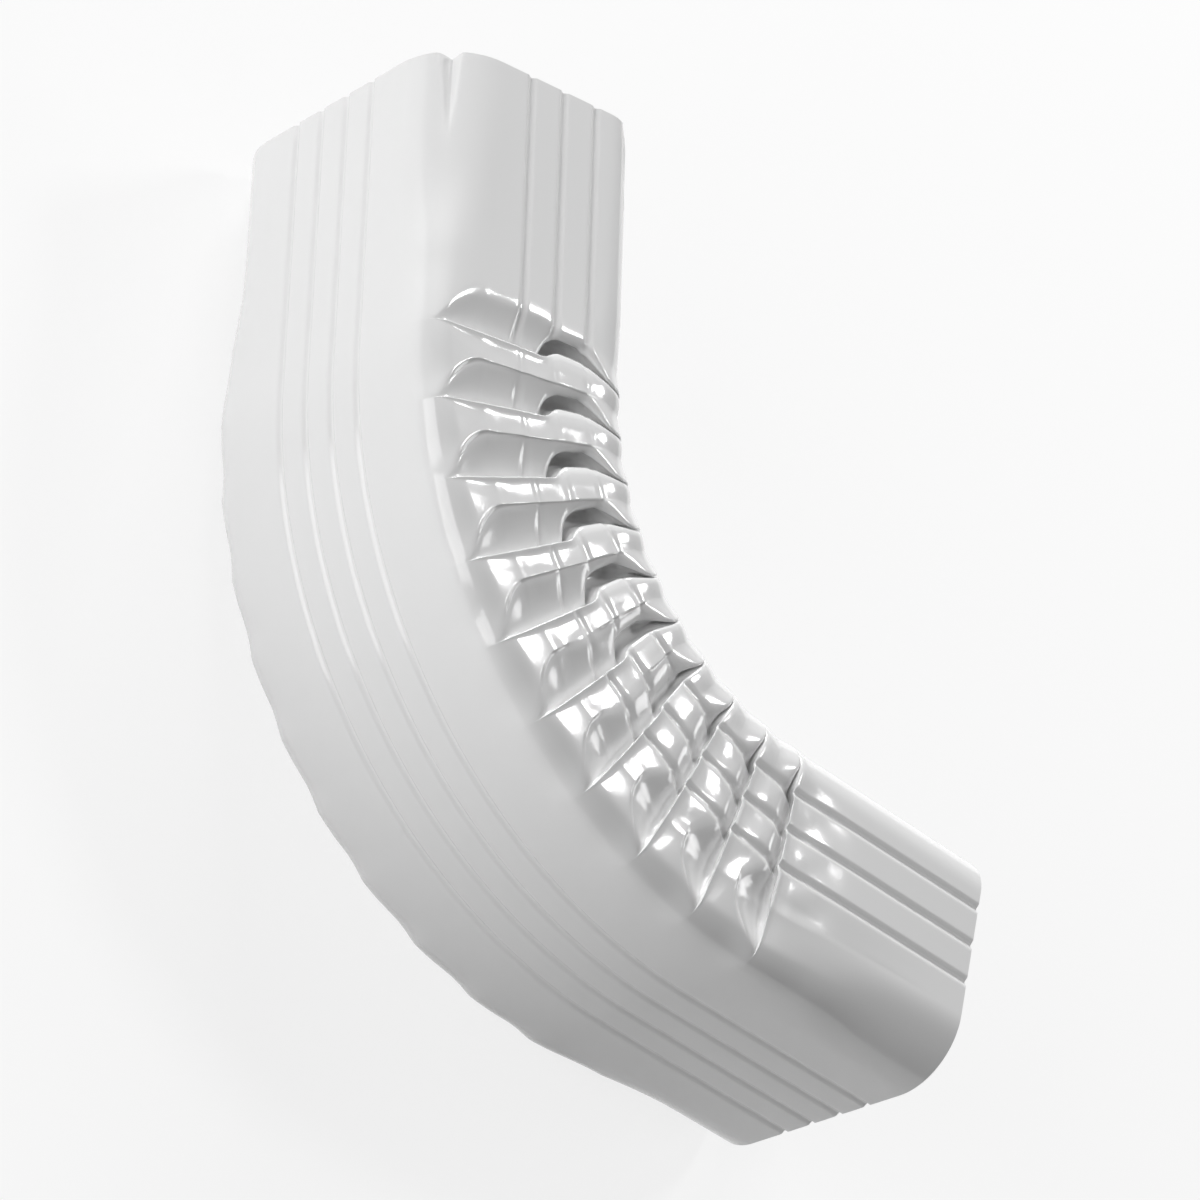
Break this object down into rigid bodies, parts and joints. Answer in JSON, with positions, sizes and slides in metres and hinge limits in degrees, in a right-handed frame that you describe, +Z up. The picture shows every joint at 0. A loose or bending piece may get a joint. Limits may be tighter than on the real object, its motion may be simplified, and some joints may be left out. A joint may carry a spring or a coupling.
{
  "type": "downspout elbow",
  "caption": "Rectangular fluted sheet-metal downspout elbow, its inner side gathered into crimped pleats, with a darted inlet end and a plain outlet end.",
  "frame": {"origin": "centre of the bounding box's footprint, on the floor under the side that rests", "axes": "+Z up across the tube's width, +Y along the inlet leg towards its open end, +X from the heel to the throat at the inlet"},
  "size_m": [0.1734, 0.2078, 0.0826],
  "materials": {
    "paint": "gloss white paint on thin sheet"
  },
  "bodies": {
    "root": {"elbow": "paint"}
  },
  "joints": []
}
